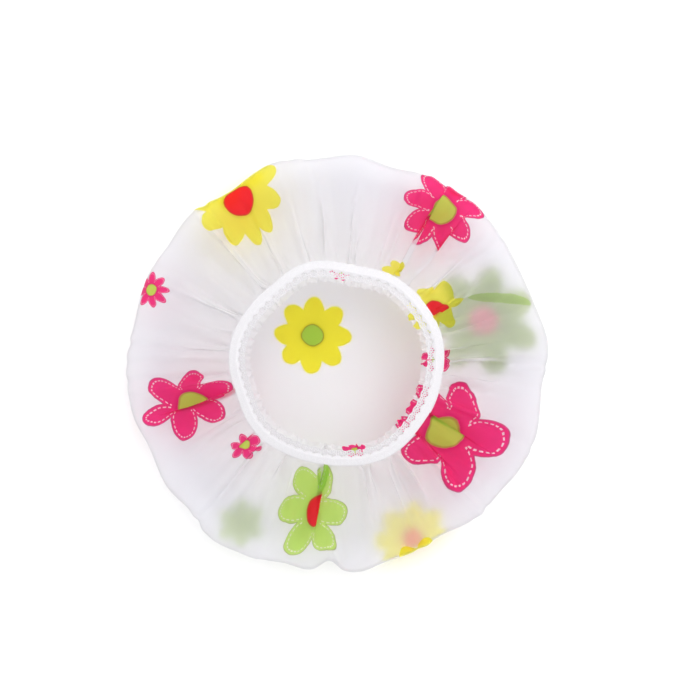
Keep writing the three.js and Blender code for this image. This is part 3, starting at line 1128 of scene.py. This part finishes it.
def repeat_tree(merge_distance: float = 0.000004) -> bpy.types.NodeTree:
    """Make the geometry nodes that repeat a unit round the mouth.

    Args:
        merge_distance: How near points of neighbouring units become one.

    Returns:
        Tree with the inputs Count and Material.
    """
    inputs = {"Geometry": "Geometry", "Count": "Int", "Material": "Material"}
    w, source, result = new_group("repeat_round", inputs, {"Geometry": "Geometry"}, "GeometryNodeTree")
    step = w.math("DIVIDE", TURN, source["Count"])
    angle = w.math("MULTIPLY", w.add("GeometryNodeInputIndex")[0], step)
    values = {
        "Points": w.add("GeometryNodePoints", {"Count": source["Count"]})[0],
        "Instance": source["Geometry"],
        "Rotation": w.add("ShaderNodeCombineXYZ", {"Z": angle})[0],
    }
    copies = w.add("GeometryNodeInstanceOnPoints", values)[0]
    real = w.add("GeometryNodeRealizeInstances", {0: copies})[0]
    merged = w.add("GeometryNodeMergeByDistance", {0: real, "Distance": merge_distance})[0]
    done = w.add("GeometryNodeSetMaterial", {0: merged, "Material": source["Material"]})[0]
    w.fill(result, {"Geometry": done})
    return w.tree


def repeat_round(unit: bpy.types.Object, count: int, material: bpy.types.Material) -> bpy.types.Object:
    """Repeat a unit round the mouth and keep the result as its mesh.

    Args:
        unit: Object that holds one unit.
        count: How many units there are in a turn.
        material: Material of the result.

    Returns:
        The same object with the whole ring in it.
    """
    tree = bpy.data.node_groups.get("repeat_round") or repeat_tree()
    modifier = unit.modifiers.new("round", "NODES")
    modifier.node_group = tree
    sockets = {item.name: item.identifier for item in tree.interface.items_tree if item.in_out == "INPUT"}
    modifier[sockets["Count"]] = count
    modifier[sockets["Material"]] = material
    bpy.context.view_layer.update()
    graph = bpy.context.evaluated_depsgraph_get()
    ring = bpy.data.meshes.new_from_object(unit.evaluated_get(graph))
    unit.modifiers.clear()
    unit.data = ring
    return unit


@dataclass
class LaceBand:
    """Stretch lace: a corded half over the elastic and an openwork half with a scalloped edge."""

    form: CapForm
    cells: int = 64
    seam_share: float = 0.09
    thickness: float = 0.00045
    hole_rim: float = 0.45
    edge_rim: float = 0.35
    outer_rim: float = 0.4
    ridge: tuple[float, float, float] = (0.0005, 0.0021, 0.0067)
    corded: float = 0.0076
    openwork: float = 0.0088
    crest: float = 0.00235
    seat: float = 0.00070
    cord_pitch: float = 0.0008
    cord_height: float = 0.00009
    cord_rows_end: float = 0.0084
    grid_end: float = 0.0082
    open_rows: tuple[float, float, float] = (0.0091, 0.0102, 0.0112)
    motif: float = 0.00175
    motif_inset: float = 0.0031
    motif_holes: int = 8
    hole: float = 0.00044
    hole_sides: int = 10
    hole_slack: float = 0.1
    weld: float = 1e-5
    eye: float = 0.0005
    side_hole: tuple[float, float] = (0.00034, 0.0005)
    side_places: tuple[float, float] = (0.0012, -0.0006)
    scallop: float = 0.0007
    picots: int = 5
    picot: float = 0.00028
    edge_inset: float = 0.0002
    edge_steps: int = 26
    grid_columns: int = 6

    def rise(self, along: np.ndarray) -> np.ndarray:
        """Height of the lace's middle above the film, with its cords.

        Args:
            along: Distance from the outer edge.

        Returns:
            The height.
        """
        low, high = self.seat, self.crest
        places = (0.0, *self.ridge, self.openwork, self.form.lace_width)
        base = smooth_steps(along, places, (low, low, high, high, low, low))
        cords = self.cord_height * np.cos(TURN * along / self.cord_pitch)
        return base + np.where(along < self.corded, cords, 0.0)

    def edge(self, share: np.ndarray) -> np.ndarray:
        """Distance of the scalloped edge from the outer edge.

        Args:
            share: Place across a cell, as a share of its pitch.

        Returns:
            The distance.
        """
        wave = 0.5 * (1.0 + np.cos(TURN * share))
        picots = self.picot * np.abs(np.sin(self.picots * math.pi * share))
        return self.form.lace_width - self.scallop * wave + picots - self.edge_inset

    def loops(self) -> tuple[float, list[np.ndarray]]:
        """Work out the holes of one cell.

        Returns:
            Pitch of a cell in metres, and the outline of each hole.
        """
        middle = self.form.lace_width - self.motif_inset
        pitch = TURN * self.form.rim_spot(middle, 0.0)[0] / self.cells
        around = np.arange(self.hole_sides) * TURN / self.hole_sides
        ring = np.stack([np.cos(around), np.sin(around)], axis=1)
        centre = np.array([0.5 * pitch, middle])
        spots = np.arange(self.motif_holes) * TURN / self.motif_holes
        petals = centre + self.motif * np.stack([np.sin(spots), np.cos(spots)], axis=1)
        holes = [petal + self.hole * ring for petal in petals]
        holes.append(centre + self.eye * ring)
        holes += [np.array([0.0, middle + place]) + self.side_hole * ring for place in self.side_places]
        return pitch, holes

    def cell(self) -> MeshParts:
        """Lay out one cell flat.

        Returns:
            Points (across, along), triangles, and how much of the thickness each point has.
        """
        pitch, holes = self.loops()
        left, right = -self.seam_share * pitch, (1.0 - self.seam_share) * pitch
        rows = np.concatenate([np.arange(0.0, self.cord_rows_end, self.cord_pitch / 4.0), self.open_rows])
        end = float(self.edge(np.array([left / pitch]))[0])
        seam = np.concatenate([rows, [end]])
        across = np.linspace(left, right, self.edge_steps)
        border = np.stack([across, self.edge(across / pitch)], axis=1)
        points = [np.stack([np.full(len(seam), side), seam], axis=1) for side in (left, right)]
        points.append(border[1:-1])
        inside = np.linspace(left, right, self.grid_columns)[1:-1]
        points.append(np.array([(x, y) for y in rows[rows < self.grid_end] for x in inside]))
        fixed = sum(len(p) for p in points[:3])
        plain = np.concatenate(points)
        edges = [(i, i + 1) for i in range(len(seam) - 1)]
        edges += [(len(seam) + i, len(seam) + i + 1) for i in range(len(seam) - 1)]
        chain = [len(seam) - 1, *range(2 * len(seam), fixed), 2 * len(seam) - 1]
        edges += list(zip(chain[:-1], chain[1:]))
        start = len(plain)
        for hole in holes:
            edges += [(start + i, start + (i + 1) % len(hole)) for i in range(len(hole))]
            start += len(hole)
        scaled = [Vector(MILLIMETRES * p) for p in np.concatenate([plain, *holes])]
        spots, _, faces, *_ = delaunay_2d_cdt(scaled, edges, [], 0, self.weld)
        flat = np.array([(p.x, p.y) for p in spots]) / MILLIMETRES
        triangles = np.array(faces)
        centre = flat[triangles].mean(axis=1)
        keep = centre[:, 1] < self.edge(centre[:, 0] / pitch)
        full = np.ones(len(flat))
        for hole in holes:
            middle = hole.mean(axis=0)
            size = np.abs(hole - middle).max(axis=0)
            keep &= (((centre - middle) / size) ** 2).sum(axis=1) > 1.0 - self.hole_slack
            near = (((flat - middle) / size) ** 2).sum(axis=1) < 1.0 + self.hole_slack
            full[near] = self.hole_rim
        full[flat[:, 1] > self.edge(flat[:, 0] / pitch) - SLACK] = self.edge_rim
        full[flat[:, 1] < SLACK] = self.outer_rim
        return flat / (pitch, 1.0), triangles[keep], full

    def build(self, material: bpy.types.Material) -> bpy.types.Object:
        """Make one cell with its thickness and repeat it round the mouth.

        Args:
            material: Material of the lace.

        Returns:
            The lace's object.
        """
        flat, triangles, full = self.cell()
        angle, along = flat[:, 0] * TURN / self.cells, flat[:, 1]
        middle = self.rise(along)
        sides = []
        for sign in (1.0, -1.0):
            radius, height = self.form.rim_spot(along, middle + sign * full * self.thickness / 2.0)
            sides.append(polar_points(radius, angle, height))
        count = len(flat)
        edges = np.concatenate([triangles[:, [0, 1]], triangles[:, [1, 2]], triangles[:, [2, 0]]])
        seen = {tuple(edge) for edge in edges.tolist()}
        low, high = flat[:, 0].min() + SLACK, flat[:, 0].max() - SLACK
        walls = [
            (a, a + count, b + count, b)
            for a, b in edges.tolist()
            if (b, a) not in seen
            and not (flat[a, 0] < low and flat[b, 0] < low)
            and not (flat[a, 0] > high and flat[b, 0] > high)
        ]
        faces = np.concatenate([triangles, triangles[:, ::-1] + count])
        unit = mesh_object("lace", np.concatenate(sides), np.array(walls), faces)
        return repeat_round(unit, self.cells, material)


@dataclass
class ElasticStrip:
    """Flat corded elastic under the lace, with butted ends."""

    form: CapForm
    start: float = 0.0013
    width: float = 0.006
    seat: float = 0.0004
    thickness: float = 0.0007
    gap: float = 0.0005
    steps: int = 240
    cords: int = 7
    cord_height: float = 0.00008
    cord_steps: int = 4

    def build(self, material: bpy.types.Material) -> bpy.types.Object:
        """Sweep the corded section round the mouth.

        Args:
            material: Material of the elastic.

        Returns:
            The elastic's object.
        """
        share = np.linspace(0.0, 1.0, self.cord_steps * self.cords + 1)
        along = self.start + self.width * share
        dip = self.cord_height * (np.abs(np.sin(self.cords * math.pi * share)) - 1.0)
        top = np.stack([along, self.seat + self.thickness + dip], axis=1)
        foot = np.stack([along, self.seat - dip], axis=1)[::-1]
        section = np.concatenate([top, foot])
        half = 0.5 * self.gap / self.form.rim_radius
        angle = np.linspace(BUTT_ANGLE + half, BUTT_ANGLE + TURN - half, self.steps)
        radius, height = self.form.rim_spot(section[:, 0], section[:, 1])
        points = polar_points(radius, angle[:, None], height)
        here, _, quads = sleeve(self.steps, len(section))
        near = np.arange(len(share) - 1)
        far = 2 * len(share) - 1 - near
        strip = np.stack([near, near + 1, far - 1, far], axis=1)
        ends = np.concatenate([here[0][strip], here[-1][strip[:, [1, 0, 3, 2]]]])
        piece = mesh_object("elastic", points.reshape(-1, 3), np.concatenate([quads, ends]))
        piece.data.materials.append(material)
        return piece


@dataclass
class StitchRow:
    """One thread of a zigzag seam round the mouth."""

    form: CapForm
    name: str
    row: float
    reach: float
    above: float
    dip: float
    count: int = 96
    leg_points: int = 13
    leg_entry: float = 0.25
    leg_ends: tuple[float, float] = (0.04, 0.46)
    thread: Thread = Thread()

    def leg(self, start: float, end: float, low: float, high: float) -> MeshParts:
        """Make one leg of the zigzag.

        Args:
            start: Angle of its first needle hole.
            end: Angle of its second needle hole.
            low: Distance of the first hole along the rim.
            high: Distance of the second hole along the rim.

        Returns:
            Points and faces of the leg.
        """
        share = np.linspace(0.0, 1.0, self.leg_points)
        bow = np.clip(np.minimum(share, 1.0 - share) / self.leg_entry, 0.0, 1.0)
        above = self.above + self.dip * (1.0 - np.sqrt(bow))
        radius, height = self.form.rim_spot(low + (high - low) * share, above)
        return self.thread.sweep(polar_points(radius, start + (end - start) * share, height))

    def build(self, material: bpy.types.Material) -> bpy.types.Object:
        """Make one zigzag and repeat it round the mouth.

        Args:
            material: Material of the thread.

        Returns:
            The thread's object.
        """
        step = TURN / self.count
        near, far = self.row - self.reach, self.row + self.reach
        first, last = (share * step for share in self.leg_ends)
        half = 0.5 * step
        legs = [self.leg(first, last, near, far), self.leg(half + first, half + last, far, near)]
        unit = mesh_object(self.name, *join_parts(legs))
        return repeat_round(unit, self.count, material)


@dataclass
class EndTack:
    """Short zigzag that joins the elastic's ends."""

    form: CapForm
    start: float = 0.0021
    end: float = 0.0065
    reach: float = 0.0016
    above: float = 0.00130
    bow: float = 0.0002
    turns: int = 7
    turn_points: int = 12
    thread: Thread = Thread()

    def build(self, material: bpy.types.Material) -> bpy.types.Object:
        """Run one thread to and fro over the butt.

        Args:
            material: Material of the thread.

        Returns:
            The tack's object.
        """
        share = np.linspace(0.0, 1.0, self.turn_points * self.turns + 1)
        swing = np.arcsin(np.sin(math.pi * self.turns * share)) * 2.0 / math.pi
        along = self.start + (self.end - self.start) * share
        radius, height = self.form.rim_spot(along, self.above - self.bow * np.abs(swing) ** 4)
        path = polar_points(radius, BUTT_ANGLE + swing * self.reach / radius, height)
        piece = mesh_object("tack", *self.thread.sweep(path))
        piece.data.materials.append(material)
        return piece


@dataclass(frozen=True)
class YarnGrain:
    """Fine grain of yarns."""

    detail: float = 2.0
    broad_scale: float = 90.0
    broad_share: float = 0.4
    dark_value: float = 0.86
    dark_share: float = 0.5
    dark_range: tuple[float, float] = (0.35, 0.65)

    def group(self) -> bpy.types.NodeTree:
        """Make the group that gives a height and a tint.

        Returns:
            The group.
        """
        inputs, outputs = {"Scale": "Float", "Tone": "Color"}, {"Height": "Float", "Tint": "Color"}
        w, source, result = new_group("yarn_grain", inputs, outputs)
        place = w.add("ShaderNodeTexCoord")["Object"]
        fine = w.noise(place, source["Scale"], self.detail)["Fac"]
        broad = w.noise(place, self.broad_scale, self.detail)["Fac"]
        height = w.math("ADD", fine, w.math("MULTIPLY", broad, self.broad_share))
        dark = w.shade(source["Tone"], self.dark_value)
        share = w.ramp(fine, *self.dark_range, self.dark_share, 0.0)
        w.fill(result, {"Height": height, "Tint": w.mix(share, source["Tone"], dark)})
        return w.tree


@dataclass(frozen=True)
class YarnFinish:
    """White yarn: lace, elastic or thread."""

    name: str
    tone: Colour
    scale: float
    depth: float
    roughness: float
    sheen: float
    transmission: float = 0.0
    index: float = 1.25
    relief: float = 0.6

    def material(self) -> bpy.types.Material:
        """Make the yarn's material.

        Returns:
            The material.
        """
        material, w, shader = new_material(self.name)
        tree = bpy.data.node_groups.get("yarn_grain") or YarnGrain().group()
        values = {"Scale": self.scale, "Tone": self.tone}
        grain = w.add("ShaderNodeGroup", values, node_tree=tree)
        inputs = {
            "Base Color": grain["Tint"],
            "Roughness": self.roughness,
            "Transmission Weight": self.transmission,
            "IOR": self.index,
            "Sheen Weight": self.sheen,
            "Normal": w.bump(self.relief, self.depth, grain["Height"]),
        }
        w.fill(shader.inputs, inputs)
        return material


LACE = YarnFinish("white_lace", (0.90, 0.885, 0.915, 1.0), 2600.0, 0.0001, 0.78, 0.25, 0.18)
ELASTIC = YarnFinish("white_elastic", (0.86, 0.86, 0.87, 1.0), 1900.0, 0.0002, 0.7, 0.1)
THREAD = YarnFinish("white_thread", (0.92, 0.91, 0.94, 1.0), 3800.0, 0.0001, 0.5, 0.2)


@dataclass(frozen=True)
class Studio:
    """Floor, light and camera."""

    floor_half: float = 2.0
    floor_tone: Colour = (0.95, 0.95, 0.95, 1.0)
    floor_roughness: float = 0.9
    sky_tone: Colour = (1.0, 1.0, 1.0, 1.0)
    sky_strength: float = 1.05
    key_power: float = 3.4
    key_size: float = 0.9
    key_place: tuple[float, float, float] = (0.28, 0.45, 0.85)
    key_target: tuple[float, float, float] = (0.0, 0.0, 0.02)
    eye_place: tuple[float, float, float] = (0.0083, 0.009, 0.75)
    frame_width: float = 0.4655
    frame_height: float = 0.015
    sensor: float = 36.0

    def build(self) -> None:
        """Set up the floor, the lights and the camera."""
        scene = bpy.context.scene
        scene.view_settings.view_transform = "Standard"
        corners = np.array([[-1.0, -1.0, 0.0], [1.0, -1.0, 0.0], [1.0, 1.0, 0.0], [-1.0, 1.0, 0.0]])
        floor = mesh_object("floor", self.floor_half * corners, np.array([[0, 1, 2, 3]]))
        paint, w, shader = new_material("floor")
        w.fill(shader.inputs, {"Base Color": self.floor_tone, "Roughness": self.floor_roughness})
        floor.data.materials.append(paint)
        world = bpy.data.worlds.new("studio")
        scene.world = world
        world.use_nodes = True
        sky = world.node_tree.nodes["Background"].inputs
        NodeWriter(world.node_tree).fill(sky, {"Color": self.sky_tone, "Strength": self.sky_strength})
        lamp = bpy.data.lights.new("key", "AREA")
        lamp.size = self.key_size
        lamp.energy = self.key_power
        key = bpy.data.objects.new("key", lamp)
        scene.collection.objects.link(key)
        key.location = self.key_place
        ahead = Vector(self.key_target) - key.location
        key.rotation_euler = ahead.to_track_quat("-Z", "Y").to_euler()
        camera = bpy.data.cameras.new("camera")
        eye = bpy.data.objects.new("camera", camera)
        scene.collection.objects.link(eye)
        eye.location = self.eye_place
        camera.sensor_width = self.sensor
        camera.lens = self.sensor * (self.eye_place[2] - self.frame_height) / self.frame_width
        scene.camera = eye


def main() -> None:
    """Build the scene."""
    logging.basicConfig(level=logging.INFO, format="%(message)s")
    form = CapForm()
    warp = RimWarp()
    surface = FilmSurface(form, warp)
    film = FilmCap(surface).build()
    area = sum(p.area for p in film.data.polygons) / 2.0
    share = area / (math.pi * surface.flat_radius**2)
    LOG.info("film_cap: %d faces, area share %.3f", len(film.data.polygons), share)
    FilmFinish().dress(film, surface)
    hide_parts("film_cap")
    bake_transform(film)
    lace, elastic, thread = LACE.material(), ELASTIC.material(), THREAD.material()
    rim = {
        "lace_band": (LaceBand(form).build(lace), "white_lace"),
        "elastic_strip": (ElasticStrip(form).build(elastic), "white_elastic"),
        "elastic_end_tack": (EndTack(form).build(thread), "white_thread"),
    }
    rows = (
        StitchRow(form, "outer_needle", row=0.0043, reach=0.0015, above=0.00262, dip=-0.0004),
        StitchRow(form, "outer_bobbin", row=0.0043, reach=0.0015, above=-0.00026, dip=0.0003),
        StitchRow(form, "inner_needle", row=0.01055, reach=0.0010, above=0.00100, dip=-0.0004),
        StitchRow(form, "inner_bobbin", row=0.01055, reach=0.0010, above=-0.00026, dip=0.0003),
    )
    for row in rows:
        rim[f"{row.name}_thread"] = (row.build(thread), "white_thread")
    for node, (piece, slot) in rim.items():
        warp.apply(piece)
        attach(piece, "rim")
        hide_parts(node)
        LOG.info("%s: %d faces", node, len(piece.data.polygons))
    Studio().build()


if __name__ == "__main__":
    main()
